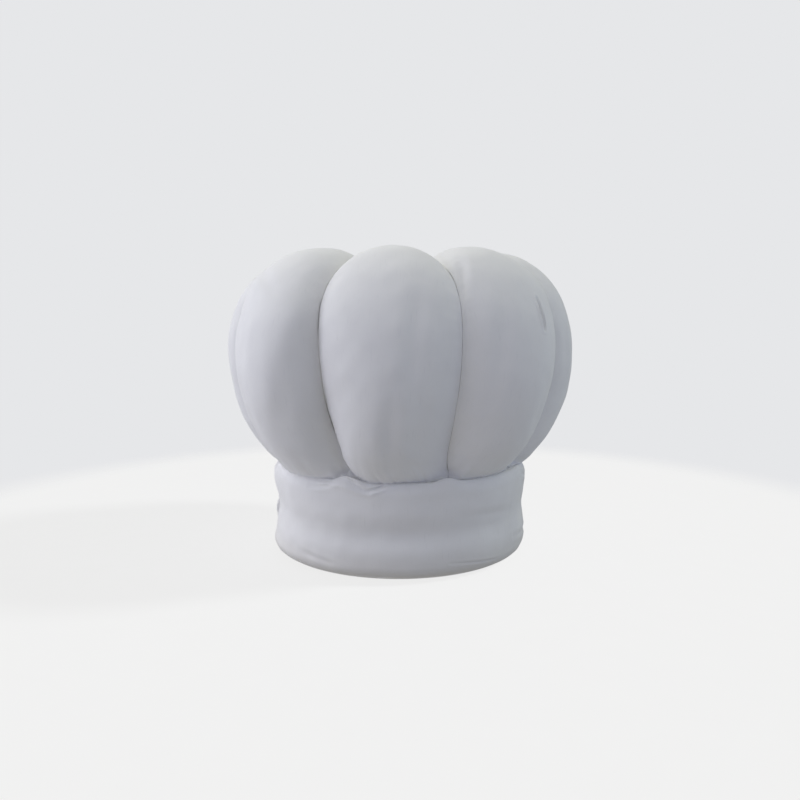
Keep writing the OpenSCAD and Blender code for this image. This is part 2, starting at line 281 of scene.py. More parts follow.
def stitches(starts, stops, outward, radius, number=0):
    """Short rounded stitches between pairs of points; each sinks into the cloth at its ends."""
    starts, stops, outward = (np.asarray(x, float) for x in (starts, stops, outward))
    axis = stops - starts
    length = np.linalg.norm(axis, axis=1, keepdims=True)
    axis = axis / length
    outward = outward / np.linalg.norm(outward, axis=1, keepdims=True)
    side = np.cross(axis, outward)
    f = np.linspace(0, 1, STITCH_RINGS)
    swell = np.sin(np.pi * np.clip(f, 0.06, 0.94)) ** 0.5
    turn = np.linspace(0, 2 * math.pi, STITCH_SIDES, endpoint=False)
    centre = starts[:, None] + (axis * length)[:, None] * f[None, :, None] \
        + outward[:, None] * (radius * (swell - 0.75))[None, :, None]
    ring = np.cos(turn)[None, None, :, None] * side[:, None, None] \
        + np.sin(turn)[None, None, :, None] * outward[:, None, None]
    p = centre[:, :, None] + ring * (radius * swell)[None, :, None, None]
    one = grid_faces(STITCH_RINGS, STITCH_SIDES, close_cols=True)
    one += [face[::-1] for face in both_ends(STITCH_RINGS, STITCH_SIDES)]
    size = STITCH_RINGS * STITCH_SIDES
    faces = [[i + size * n for i in face] for n in range(len(starts)) for face in one]
    uv = np.stack(np.broadcast_arrays(f[None, :, None] * length[:, :, None], turn[None, None] * radius), -1)
    return p.reshape(-1, 3), faces, uv.reshape(-1, 2), number


def stitch_run(points, outward, length, gap, radius, number=0):
    """A row of stitches along a path of points."""
    points, outward = np.asarray(points, float), np.asarray(outward, float)
    run = run_length(points)
    count = max(1, int(run[-1] / (length + gap)))
    pitch = run[-1] / count
    first = np.arange(count) * pitch + gap / 2
    last = first + pitch - gap

    def along(values, where):
        return np.stack([np.interp(where, run, values[:, k]) for k in range(3)], -1)
    middle = along(outward, (first + last) / 2)
    return stitches(along(points, first), along(points, last), middle, radius, number)


# ---------------------------------------------------------------- crown
# Small differences between the lobes, in mm off the ridge low down, half way up and near the top
SWELL_LOW = (0, 0, 0.9, 0.4, -0.5, 0.3, 0.3, 1.4)
SWELL_MID = (-0.8, 1.2, 0, -0.6, 0.5, 0.6, -0.7, 1.8)
SWELL_TOP = (-0.6, 0, 0.5, 0.7, -0.4, 0.5, -0.2, -0.4)
# Degrees by which a lobe's ridge leans round the crown low down, half way up and near the top
TURN_LOW = (-2.5, 0.5, -0.8, 1.0, -0.6, 0.8, 1.0, 2.0)
TURN_MID = (-1.2, 0.0, 0.6, 0.5, -1.0, 0.6, 0.0, 3.6)
TURN_TOP = (0, 1.6, -0.5, -0.4, 0.5, -0.6, 0.0, 0)
# How far the stuffing settles into the foot of each lobe, in mm
FOOT_FULL = (0, 0.4, 2.6, 0.5, 0.3, 0.8, 2.2, 1.6)
# How far the corners of each lobe's foot are drawn in above the band, in mm
FOOT_TUCK = (1.2, 2.0, 2.6, 1.8, 2.4, 2.8, 2.0, 3.2)
# Half angle of the arc each lobe bulges through between its two seams
ARC = (76, 83, 82, 80, 83, 81, 82, 85)
# How much deeper than the others each seam is pulled in, in mm
SEAM_DEPTH = (0, 0.5, 0, -0.6, 0.8, 0, 0.5, 3.5)
# Degrees by which the seam after each lobe leans round in its lower half, at its foot, and all the way up
SEAM_LEAN = (1.6, 0, 0.8, -0.7, 0.6, -0.5, 0, 3.5)
FOOT_LEAN = (0.8, 0.8, -0.8, 1.2, -1.0, 0.8, 1.0, 4.0)
SEAM_PLACE = (0.4, 0, -0.4, 0.5, -0.3, 0.4, 0, -1.0)
# How far the stuffing pushes the bottom of a valley back out, and over what width, in mm
SEAM_FILL = (1.8, 1.4, 1.5, 1.1, 1.5, 1.2, 1.3, 1.2)
SEAM_SOFT = 3.5
# How far the cloth's small gathers reach, in mm, from the seams, from the band and from the dimple
SEAM_REACH, FOOT_REACH, TIP_REACH = 8, 14, 24
# All unevenness fades out over so many mm beside a seam
SEAM_FADE = 6
# Soft folds pressed into a lobe: lobe, then start and stop as (across, along) in mm of cloth, width, depth
SOFT_FOLDS = (
    (0, (23, 166), (19, 76), 6, 0.9), (0, (7, 92), (6, 26), 5, 0.8), (0, (31, 116), (26, 44), 5, 0.4),
    (7, (50, 152), (20, 60), 9, 1.2), (7, (-24, 186), (15, 160), 5, 0.6), (7, (-18, 80), (-8, 30), 6, 0.4),
    (1, (-22, 162), (-34, 88), 6, 0.7), (1, (-33, 202), (-53, 164), 3.5, 0.9),
    (1, (18, 110), (10, 40), 8, 0.5),
    (2, (-40, 152), (-30, 80), 6, 0.5), (2, (8, 190), (-4, 90), 8, 0.7), (3, (-8, 172), (4, 80), 7, 0.8),
    (3, (16, 110), (8, 40), 5, 0.6), (4, (10, 202), (2, 110), 8, 0.8), (4, (-14, 92), (-6, 34), 5, 0.6),
    (5, (-12, 152), (-2, 60), 7, 0.8), (5, (20, 232), (12, 180), 6, 0.6), (6, (12, 190), (4, 100), 8, 0.7))
# Where the stuffing sits full under the cloth: lobe, then start and stop as (across, along), width, height
FULLNESS = (
    (7, (40, 160), (32, 20), 14, 1.2), (7, (-40, 150), (-32, 40), 14, 2.6),
    (2, (12, 150), (6, 40), 12, 1.2), (3, (-20, 130), (-14, 40), 11, 1.8), (4, (16, 160), (20, 50), 11, 1.6),
    (5, (-22, 150), (-18, 50), 10, 1.4), (6, (-12, 170), (-20, 60), 11, 1.8))
# The one sharp nip in the cloth, high on the lobe to the front's left
NIP_LOBE = 1
NIP = ((9, 152), (11, 129), 1.2, 3.2)


def out_of(curve):
    """Unit normals of a curve of (radius, height) points."""
    tangent = np.gradient(curve, axis=0)
    return np.stack([tangent[:, 1], -tangent[:, 0]], -1) / np.linalg.norm(tangent, axis=1, keepdims=True)


def seam_line(seam, t, inset=0.0):
    """Radius, height and azimuth in radians along the seam after a lobe, at stations t."""
    depth = SEAM_DEPTH[seam] * between(t, 1.2, 4.5, 7, 10)
    p = spline(VALLEY, t) - out_of(spline(RIDGE, t)) * (inset + depth[:, None])
    lean = SEAM_LEAN[seam] * (1 - smoothstep(t, 1.2, 4.5)) + FOOT_LEAN[seam] * (1 - smoothstep(t, 0.4, 2.2))
    lean = lean + SEAM_PLACE[seam] * (1 - smoothstep(t, 7.5, 11))
    return p[:, 0], p[:, 1], (2 * seam + 1) * HALF + np.radians(lean)


def lobe_grid(number, inset, rows, cols, first=0.0, gap=0.06):
    """Points over a lobe, from the band up into the dimple, inset from its surface, and their stations."""
    t = np.linspace(first, STATIONS, rows)
    u = np.linspace(-1, 1, cols)
    ridge = spline(RIDGE, t)
    swell = (SWELL_LOW[number] * between(t, 1, 3, 3, 7) + SWELL_MID[number] * between(t, 2, 5, 6, 9)
             + SWELL_TOP[number] * between(t, 5, 8, 10, 12)
             + FOOT_FULL[number] * between(t, 0.3, 1.3, 1.8, 3.2))
    ridge = ridge + out_of(ridge) * (swell[:, None] - inset)
    centre = number * 2 * HALF + np.radians(
        TURN_LOW[number] * between(t, 1, 2.5, 3, 4.5) + TURN_MID[number] * between(t, 3, 4.5, 6, 7.2)
        + TURN_TOP[number] * between(t, 6, 7.2, 8, 10))
    sides = []
    for seam in ((number - 1) % LOBES, number):
        r, z, a = seam_line(seam, t, inset)
        if seam == LOBES - 1 and number == 0:
            a = a - 2 * math.pi
        sides.append(np.stack([r * np.sin(a), -r * np.cos(a), z], -1))
    mid, half_chord = (sides[0] + sides[1]) / 2, (sides[1] - sides[0]) / 2
    half_chord = half_chord * (1 - (gap + inset) / np.linalg.norm(half_chord, axis=1, keepdims=True))
    top = np.stack([ridge[:, 0] * np.sin(centre), -ridge[:, 0] * np.cos(centre), ridge[:, 1]], -1)
    opening = smoothstep(t, 0, FULL_BULGE)
    arc = np.radians(HALF_DEGREES + (ARC[number] - HALF_DEGREES) * opening)[:, None]
    reach = (np.sin(arc * u) / np.sin(arc))[..., None]
    bulge = ((np.cos(arc * u) - np.cos(arc)) / (1 - np.cos(arc)))[..., None]
    return mid[:, None] + half_chord[:, None] * reach + (top - mid)[:, None] * bulge, t, u


def build_crown():
    panels = []
    rows, cols = ((320, 131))
    for k in range(LOBES):
        p, t, u = lobe_grid(k, 0.0, rows, cols)
        t = t[:, None]
        uv = cloth_uv(p)
        across, along = uv[..., 0], uv[..., 1]
        from_seam = np.abs(across).max(axis=1, keepdims=True) - np.abs(across)
        tip = along.max() - along
        # broad and small unevenness, then the gathers at the seams, above the band and in the dimple
        d = 0.35 * waves(across, along, 7, 50, 120, 100 + k)
        d = d + 0.10 * waves(across, along, 9, 14, 34, 200 + k)
        d = d + 0.24 * waves(along, across * 0.12, 8, 7, 17, 300 + k) * np.exp(-from_seam / SEAM_REACH)
        from_foot = np.maximum(along - 8, 0)
        d = d + 0.26 * waves(across, along * 0.1, 8, 5, 12, 400 + k) * np.exp(-from_foot / FOOT_REACH)
        d = d + 0.40 * waves(across, along * 0.08, 6, 4, 8, 500 + k) * np.exp(-tip / TIP_REACH)
        for lobe, start, stop, width, depth in SOFT_FOLDS:
            if lobe == k:
                d = d + fold(across, along, start, stop, width, depth)
        for lobe, start, stop, width, height in FULLNESS:
            if lobe == k:
                d = d + fold(across, along, start, stop, width, -height, lip=0)
        d = d * np.minimum(1, from_seam / SEAM_FADE)
        tuck = np.where(u < 0, FOOT_TUCK[k - 1], FOOT_TUCK[k])
        d = d - tuck * smoothstep(np.abs(u)[None], 0.5, 0.95) * bump(p[..., 2], 75, 6)
        if k == NIP_LOBE:
            d = d + fold(across, along, *NIP)
        d = d * smoothstep(t, 0.3, 1.0)
        away = p * (1, 1, 0) / np.linalg.norm(p[..., :2], axis=-1, keepdims=True)
        fill = np.where(u < 0, SEAM_FILL[k - 1], SEAM_FILL[k]) * np.exp(-(from_seam / SEAM_SOFT) ** 2)
        points = p + grid_normals(p) * d[..., None] + away * (fill * between(t, 2, 4.5, 9, 11))[..., None]
        panels.append(piece(f"crown_panel_{k + 1}", f"gore_{k + 1}", "crown_cotton",
                            [(points, grid_faces(rows, cols), uv, 0)]))
    return panels


def lining_curve(lift, f):
    """Radius and height along the lining's wall and dome, as f runs from 0 to 1."""
    wall_share, dome_reach, low = 0.16, 80, 91
    a = np.radians(dome_reach * (f - wall_share) / (1 - wall_share))
    wall = f < wall_share
    r = np.where(wall, LINING_R + lift, (LINING_R + lift) * np.cos(a))
    z = np.where(wall, low + (WALL_TOP - low) * f / wall_share, WALL_TOP + (DOME_H + lift) * np.sin(a))
    return r, z


def build_stuffing():
    made = []
    rows, cols, inset, gap, lift = 44, 23, 3.2, 0.8, 0.9
    for k in range(LOBES):
        front, _, u = lobe_grid(k, inset, rows, cols, PAD_STATION, gap)
        f = np.linspace(0, 1, rows)
        r, z = lining_curve(lift, f)
        x = u[None] * (r[:, None] * math.sin(HALF) - lift)
        y = -np.sqrt(r[:, None] ** 2 - x ** 2)
        c, s = math.cos(k * 2 * HALF), math.sin(k * 2 * HALF)
        rear = np.stack([x * c - y * s, x * s + y * c, z[:, None] + 0 * x], -1)
        lumps = 0.7 * waves(front[..., 0] + front[..., 1], front[..., 2], 8, 14, 40, 600 + k)
        rim = np.minimum(1, 4 * (1 - np.abs(u)))[None] * np.minimum(1, 6 * np.minimum(f, 1 - f))[:, None]
        front = front + grid_normals(front) * ((lumps - 0.8) * rim)[..., None]
        uv = cloth_uv(front)
        made.append(piece(f"stuffing_{k + 1}", f"wadding_{k + 1}", "wadding",
                          [(np.stack([front, rear]), sheet_pair(rows, cols), np.stack([uv, uv]), 0)]))
    return made


def build_webs():
    made = []
    rows, cols = 40, 9
    f = np.linspace(0, 1, rows)
    t = PAD_STATION + (STATIONS - PAD_STATION) * f
    r_in, z_in = lining_curve(0.8, f)
    mix = np.linspace(0.005, 1, cols)[None]
    for k in range(LOBES):
        r_out, z_out, seam_at = seam_line(k, t)
        r = (r_out[:, None] - WEB_SHORT) * (1 - mix) + r_in[:, None] * mix
        z = z_out[:, None] * (1 - mix) + z_in[:, None] * mix
        a = (2 * k + 1) * HALF
        ripple = 0.25 * waves(r, z, 6, 12, 30, 700 + k) * np.sin(np.pi * mix)
        turn = a + (seam_at - a)[:, None] * (1 - mix)
        out = np.stack([np.sin(turn), -np.cos(turn)], -1)
        side = np.array([math.cos(a), math.sin(a)])
        sheets = []
        for s in (-1, 1):
            xy = r[..., None] * out + side * (ripple + s * WEB_T / 2)[..., None]
            sheets.append(np.concatenate([xy, z[..., None]], -1))
        uv = cloth_uv(sheets[0])
        made.append(piece(f"web_{k + 1}", f"baffle_{k + 1}", "web_cotton",
                          [(np.stack(sheets), sheet_pair(rows, cols, flip=True), np.stack([uv, uv]), 0)]))
    return made


def build_top():
    button_r, low, edge, rise = 15.4, 183.0, 3.0, 5.0
    a = np.radians(np.linspace(0, 90, 16))
    dome = [(button_r * math.cos(x), low + edge + rise * math.sin(x)) for x in a[1:]]
    under = [(2.0, low), (button_r - 3.0, low), (button_r - 1.1, low + 0.25), (button_r - 0.3, low + 1.0),
             (button_r, low + 2.0), (button_r, low + edge)]

    def gathers(angle, r, z):
        rim = bump(z, low + 1.2, 2.2) * smoothstep(r, 8, 14)
        return rim * 0.22 * np.sin(np.radians(angle) * 34 + 2 * np.sin(np.radians(angle) * 3))
    top = WALL_TOP + DOME_H - 1.4
    back = [(0.05, top - 3.0), (5.4, top - 3.0), (7.6, top - 2.7), (8.7, top - 2.0), (9.0, top - 1.2),
            (8.6, top - 0.4), (7.4, top), (0.05, top)]
    return [piece("covered_button", "top_button", "crown_cotton", [lathe(under + dome, 144, gathers)]),
            piece("backing_disc", "backing_button", "web_cotton", [lathe(back, 72)])]


# ---------------------------------------------------------------- headband
# Creases in the band's cloth: start and stop as (azimuth, height), width, depth
BAND_FOLDS = (
    ((-33, 71.2), (-17, 70.6), 1.0, 1.4), ((-27, 71.0), (-8.2, 66.2), 1.3, 2.6),
    ((-9.4, 66.2), (-1.0, 71.2), 1.1, 1.8),
    ((-36, 65.5), (-22, 68.5), 1.2, 0.7), ((17, 71.5), (27, 69.4), 0.9, 0.8),
    ((24, 12.6), (50, 7.4), 1.0, 0.6),
    ((-42, 15), (-22, 10), 2.2, 0.5), ((30, 46), (58, 43), 3.0, 0.5), ((62, 20), (96, 15), 2.2, 0.7),
    ((70, 66), (84, 61), 1.6, 0.8), ((-118, 18), (-92, 14), 2.2, 0.6), ((-100, 64), (-86, 69), 1.4, 0.8),
    ((-73, 31), (-71.5, 43), 1.0, 2.6, 0.9))
# Where the band swells or draws in: by how many mm, then azimuth and its width, height and its width
BAND_SWELL = (
    (-2.4, -86, 24, 45, 8), (-1.3, -90, 30, 24, 14), (0.8, 92, 24, 44, 9), (1.0, -30, 40, 42, 12),
    (1.2, 5, 45, 47, 9), (-1.7, 5, 45, 33, 8), (0.4, 5, 45, 20, 7))
# Where the band's lip is drawn up into the valleys: azimuth, height, width in degrees
LIP_RISE = ((-17.8, 6.2, 6.5), (23.3, 4.4, 5.5), (-67, 2.8, 6.0), (68, 2.4, 5.5))
HEM_RISE = 2.3
BAND_DEGREE = BAND_R * math.pi / 180
# A line of sewing: length of a stitch, gap between two, and the thread's radius
SEAM_STITCH = (2.6, 0.9)
SEAM_SAMPLES = 1441


def band_r(z):
    return BAND_R - BAND_WAIST * bump(z, WAIST_Z, WAIST_SPREAD)


def leg_path(depth, count=14):
    """The cover's inner leg, downwards, and the small round where it turns under."""
    z = np.linspace(LEG_TOP, LEG_ROUND, count)
    leg = np.stack([np.full_like(z, COVER_IN + depth), z], -1)
    a = np.radians(np.linspace(15, 90, 6))
    turn = LEG_ROUND - (LEG_ROUND - depth) * np.stack([np.cos(a), np.sin(a)], -1)
    return np.concatenate([leg, turn + (COVER_IN, 0)])


def face_path(depth, count=58):
    """The cover's hem, outside and lip, upwards, ending in a tuck behind the crown."""
    lip_z = BAND_H - LIP_ROUND_H
    a = np.radians(np.linspace(0, 90, 18))
    hem = band_r(HEM_ROUND_H) - HEM_FLAT - depth
    low = np.stack([HEM_FLAT + hem * np.sin(a), HEM_ROUND_H - (HEM_ROUND_H - depth) * np.cos(a)], -1)
    z = np.linspace(HEM_ROUND_H, lip_z, count)[1:]
    side = np.stack([band_r(z) - depth, z], -1)
    a = np.radians(np.linspace(0, 105, 20))[1:]
    lip = band_r(lip_z) - LIP_R - depth
    top = np.stack([LIP_R + lip * np.cos(a), lip_z + (LIP_ROUND_H - depth) * np.sin(a)], -1)
    return np.concatenate([low, side, top])


def band_shift(azimuth, z, r):
    """Outward and upward moves of the band's outer cloth, in mm. None at the rear, where the strap slides."""
    a = (azimuth + 180) % 360 - 180
    s = np.radians(a) * BAND_R
    quiet = 1 - smoothstep(np.abs(a), 112, 126)
    outside = smoothstep(r, 98.0, 102.0)
    out = 0.30 * waves(s, z * 1.3, 8, 45, 130, 11) + 0.10 * waves(s, z, 8, 12, 30, 12)
    out = out - 1.5 * bump(a, -92, 34) * smoothstep(z, 6, 20)
    for height, place, width, place_z, width_z in BAND_SWELL:
        out = out + height * bump(a, place, width) * bump(z, place_z, width_z)
    # gathers and a low swelling under the lip
    out = out + 0.07 * waves(s, z * 0.15, 8, 5, 13, 13) * smoothstep(z, 58, 70)
    out = out + 1.0 * bump(a, -20, 9) * smoothstep(z, 62, 71)
    for start, stop, *rest in BAND_FOLDS:
        out = out + fold(s, z, (start[0] * BAND_DEGREE, start[1]), (stop[0] * BAND_DEGREE, stop[1]), *rest)
    up = sum(rise * bump(a, place, width) for place, rise, width in LIP_RISE) * smoothstep(z, 61, 71)
    hem = HEM_RISE * bump(a, 5, 92) * (1 - smoothstep(z, 0, 18))
    return out * quiet * outside, (up * outside + hem) * quiet


def build_band():
    count = 961
    azimuth = slit_to_slit(0.4, count)
    path = np.concatenate([leg_path(0), face_path(0), face_path(COVER_T)[::-1], leg_path(COVER_T)[::-1]])
    r, z = spread(path, azimuth)
    out, up = band_shift(azimuth, z, r)
    cover = piece("band_cloth", "band_cover", "band_cotton", [(
        polar(r + out, azimuth, z + up), grid_faces(count, len(path), close_cols=True, flip=True),
        round_uv(azimuth, BAND_R, run_length(path)[None]), 0)])

    count, pad_in = 241, [(96.7, 65.5), (96.6, 40), (96.7, 3.2)]
    azimuth = slit_to_slit(0.7, count)
    face = face_path(COVER_T + 0.5, 24)
    face = face[face[:, 0] > 96.9]
    path = np.concatenate([pad_in, face[: np.argmax(face[:, 1]) + 1]])
    r, z = spread(path, azimuth)
    out, _ = band_shift(azimuth, z, r)
    lumps = -0.4 + 0.3 * waves(np.radians(azimuth) * 100, z, 8, 12, 36, 800)
    out = np.minimum(out, 0) + lumps * smoothstep(r, 99, 101)
    pad = piece("band_filling", "band_wadding", "wadding", [(
        polar(r + out, azimuth, z), grid_faces(count, len(path), close_cols=True, flip=True)
        + both_ends(count, len(path)), round_uv(azimuth, r, z), 0)])

    # crown seam and hem seam, as separate stitches
    az = np.linspace(0, 360, SEAM_SAMPLES)
    out, up = band_shift(az, np.full_like(az, 71.8), np.full_like(az, 101.0))
    crown_seam = piece("crown_seam_thread", "crown_stitching", "thread", [stitch_run(
        polar(99.6 + out, az, 72.1 + up), polar(0.35 + 0 * az, az, 1.0), *SEAM_STITCH, 0.28)])
    az = slit_to_slit(1, SEAM_SAMPLES)[:, 0]
    hem_seam = piece("hem_seam_thread", "hem_stitching", "thread", [stitch_run(
        polar(93.0 + 0 * az, az, 4.6), polar(-0.7 + 0 * az, az, -0.7), *SEAM_STITCH, 0.3)])
    return [cover, pad, crown_seam, hem_seam]


# ---------------------------------------------------------------- what is seen from below
def ring_path(inner, thick, low, high, rows, edge, corner, sink):
    """Section of a soft-edged ring, up its inside and down its outside."""
    z = eased(low, high, rows, edge)
    rim = sink * (1 - rounded(np.minimum(z - low, high - z) / corner))
    return np.concatenate([np.stack([inner + rim, z], -1), np.stack([inner + thick - rim, z], -1)[::-1]])


def build_sweatband():
    count = 721
    azimuth = slit_to_slit(0.6, count)
    path = ring_path(HEAD_R, 1.3, 5, 63, 60, 0.55, 0.6, 0.6)
    r, z = spread(path, azimuth)
    nap = 0.10 * (1 + waves(np.radians(azimuth) * HEAD_R, z, 10, 2.2, 5, 21)) * (r < HEAD_R + 0.5)
    return piece("sweatband_towelling", "sweatband", "towelling", [(
        polar(r + nap, azimuth, z),
        grid_faces(count, len(path), close_cols=True) + both_ends(count, len(path)),
        round_uv(azimuth, HEAD_R, run_length(path)[None]), 0)])


def build_ring(name, node, slot, low, high, inner, thick, seed, size, rows):
    """A thin ring of cloth right round the hat, uneven by size mm between its edges."""
    count, cloth_r = 480, 94
    azimuth = np.linspace(0, 360, count, endpoint=False)[:, None]
    path = ring_path(inner, thick, low, high, rows, 0.3, 0.3, thick / 2)
    r, z = spread(path, azimuth)
    inside = np.sin(np.pi * (z - low) / (high - low))
    r = r + size * waves(np.radians(azimuth) * cloth_r, z * 0.5, 8, 6, 26, seed) * inside
    return piece(name, node, slot, [(
        polar(r, azimuth, z), grid_faces(count, len(path), close_cols=True, close_rows=True),
        round_uv(azimuth, cloth_r, run_length(path)[None]), 0)])


def build_dome():
    rows, cols = ((90, 480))
    b = np.radians(np.linspace(0, 89.2, rows))[:, None]
    az = np.linspace(0, 360, cols, endpoint=False)[None]
    around_at = np.radians(az)
    up_cloth = np.degrees(b) * 1.4
    step = 2 * HALF_DEGREES
    from_seam = np.radians(np.abs(az % step - step / 2))
    sheets = []
    for depth in (0.0, LINING_T):
        r = (LINING_R - depth) * np.cos(b) + 0 * az
        z = WALL_TOP + 0.3 + (DOME_H - depth) * np.sin(b) + 0 * az
        sag = 0.5 * waves(around_at * 60, up_cloth, 8, 18, 60, 41) * np.sin(2 * b)
        pull = 0.35 * np.sin(around_at * 26 + 1.3 * np.sin(around_at * 5)) * bump(r, 0, 22)
        pull = pull * smoothstep(r, 1.5, 7)
        ditch = 0.42 * bump(from_seam * np.maximum(r, 1), 0, 1.1) * smoothstep(r, 8, 20)
        sheets.append(polar(r, az, z - np.abs(sag) - np.abs(pull) + ditch))
    uv = round_uv(az, np.maximum(LINING_R * np.cos(b), 4), up_cloth)
    return piece("lining_dome", "lining_tip", "lining_cotton", [(
        np.concatenate([sheets[0], sheets[1][::-1]]),
        grid_faces(2 * rows, cols, close_cols=True, close_rows=True),
        np.concatenate([uv, uv[::-1]]), 0)])


def build_label():
    """A blank label, sewn along its top edge and curling a little at the bottom."""
    x = eased(-1, 1, 30, 0.03, 3)[:, None]
    y = eased(-1, 1, 22, 0.04, 3)[None]
    half_span, low, high, face_r, back_r, curl_size = 10.0, 74.0, 92.0, 92.95, 93.12, 0.35
    mid = REAR - 44 + half_span
    curl = curl_size * (x ** 2) * (0.4 + 0.6 * (1 - y) / 2) + 0.1 * np.sin(5 * x + 2) * (1 - y) / 2
    angle, z = mid + x * half_span + 0 * y, (low + high) / 2 + y * (high - low) / 2 + 0 * x
    n = x.size * y.size
    front = grid_faces(x.size, y.size)
    uv = np.stack([np.radians(angle) * 93, z], -1)
    parts = [(np.stack([at_angle(face_r - curl, angle, z), at_angle(back_r - curl, angle, z)]),
              front + [[i + n for i in q][::-1] for q in front], np.stack([uv, uv]), 0)]
    ends = np.linspace(mid - half_span + 0.8, mid + half_span - 0.8, 60)
    lift = face_r - 0.4 * curl_size * ((ends - mid) / half_span) ** 2
    inward = at_angle(-1.0 + 0 * ends, ends, 0.0)
    parts.append(stitch_run(at_angle(lift - 0.05, ends, high - 1.3), inward, 1.8, 0.7, 0.16, 1))
    return piece("blank_label", "care_label", "satin", parts)


def build_inside():
    return [build_sweatband(),
            build_ring("lining_tape", "seam_tape", "web_cotton", 63.5, 69.5, 92.8, 0.5, 31, 0.08, 10),
            build_ring("lining_wall", "lining_side", "lining_cotton", 65, WALL_TOP, 93.5, LINING_T,
                       32, 0.22, 26),
            build_dome(), build_label()]


# ---------------------------------------------------------------- rear closure
STRAP_LOW, STRAP_HIGH = 27.0, 53.0
STRAP_T, CASING_T = 1.3, 1.0
# Height of each layer's underside off the band
LOOP_LIFT, HOOK_LIFT, STRAP_LIFT, CASING_LIFT = 0.15, 1.45, 2.4, 4.1
STRAP_TOP = STRAP_LIFT + STRAP_T
# Angle where the strap's mouth gives way to its free end, and where the tab ends
TAB_START, TAB_STOP, TAB_CORNER = 90.55, 120.3, 9.0
# A line of sewing on the strap: stitch, gap, thread radius, material number
SEWING = (2.2, 0.9, 0.2, 1)
SEWN_IN = 2.2


def cloth_strip(lift, thick, z_low, z_high, angles, edge=0.5, wave=None, rows=26, ends=None):
    """A soft-edged strip lying on the band, for piece. ends(z) gives its first and last angle at a height."""
    z = eased(z_low, z_high, rows, edge)
    rim = thick / 2 * (1 - rounded(np.minimum(z - z_low, z_high - z) / edge))
    z = np.concatenate([z, z[::-1]])[None]
    outer = np.concatenate([thick - rim, rim[::-1]])[None]
    f = np.asarray(angles, float)[:, None]
    first, last = (f[0, 0], f[-1, 0]) if ends is None else ends(z)
    share = (f - f[0, 0]) / (f[-1, 0] - f[0, 0])
    angle = first + (last - first) * share
    from_end = np.minimum(angle - first, last - angle) * BAND_DEGREE
    h = thick / 2 + (outer - thick / 2) * rounded(from_end / edge, 0.02)
    if wave is not None:
        h = h + wave(angle, z)
    p = at_angle(band_r(z) + lift + h, angle, z)
    n, m = p.shape[:2]
    caps = [[i, i + 1, m - 2 - i, m - 1 - i] for i in range(m // 2 - 1)]
    faces = grid_faces(n, m, close_cols=True) + both_ends(n, m, caps)
    return p, faces, round_uv(angle, BAND_R, z + 0 * angle), 0


def along_strip(lift, angles, z):
    """Points and outward directions on a strip's surface."""
    angles, z = np.broadcast_arrays(np.asarray(angles, float), np.asarray(z, float))
    return at_angle(band_r(z) + lift, angles, z), at_angle(1.0 + 0 * z, angles, 0 * z)


def sewn(lift, angles, z, sewing=SEWING):
    """A row of stitches on a strip's surface."""
    return stitch_run(*along_strip(lift, angles, z), *sewing)


def soft(seed, size, calm=0.0):
    """Gentle unevenness for a strip."""
    def move(angle, z):
        s = np.radians(angle) * BAND_R
        return size * waves(s, z + 0 * s, 8, 6, 24, seed) - calm
    return move


def arches(centre, way, out, size, wire, share=1.0):
    """Small wire loops standing on a surface. share below 1 leaves the far leg short, which makes hooks."""
    steps, sides = 6, 4
    a = np.linspace(0, math.pi * share, steps)
    spine = centre[:, None] + way[:, None] * (size[:, :, None] * -np.cos(a)[None, :, None]) * 0.7 \
        + out[:, None] * (size[:, :, None] * np.sin(a)[None, :, None])
    tangent = np.gradient(spine, axis=1)
    tangent /= np.linalg.norm(tangent, axis=-1, keepdims=True)
    side = np.cross(way, out)[:, None]
    up = np.cross(side, tangent)
    turn = np.linspace(0, 2 * math.pi, sides, endpoint=False)
    p = spine[:, :, None] + wire * (np.cos(turn)[None, None, :, None] * side[:, :, None]
                                    + np.sin(turn)[None, None, :, None] * up[:, :, None])
    one = grid_faces(steps, sides, close_cols=True)
    faces = [[i + steps * sides * n for i in q] for n in range(len(centre)) for q in one]
    uv = np.zeros((p.shape[0], steps, sides, 2)) + np.linspace(0, 1.5, steps)[None, :, None, None]
    return p, faces, uv, 1


def build_loops():
    """A low, dense pile of loops on their tape."""
    draw = np.random.default_rng(71)
    columns = eased(95.5, 132.0, 300, 0.3)
    tape = cloth_strip(LOOP_LIFT, 0.5, STRAP_LOW + 1, STRAP_HIGH - 1, columns, 0.3, soft(51, 0.03), 60)
    angles, z = np.meshgrid(np.arange(96.0, 131.6, 0.62), np.arange(STRAP_LOW + 1.9, STRAP_HIGH - 1.6, 1.0))
    angles = angles + draw.uniform(-0.2, 0.2, angles.shape)
    z = z + draw.uniform(-0.35, 0.35, z.shape)
    turn = draw.uniform(0, 2 * math.pi, angles.size)[:, None]
    centre, out = along_strip(LOOP_LIFT + 0.45, angles.ravel(), z.ravel())
    way = np.cos(turn) * np.cross(out, [0, 0, 1.0]) + np.sin(turn) * np.array([0, 0, 1.0])
    size = draw.uniform(0.38, 0.62, angles.size)[:, None]
    return piece("loop_strip_pile", "loop_strip", "loop_tape", [tape, arches(centre, way, out, size, 0.055)])


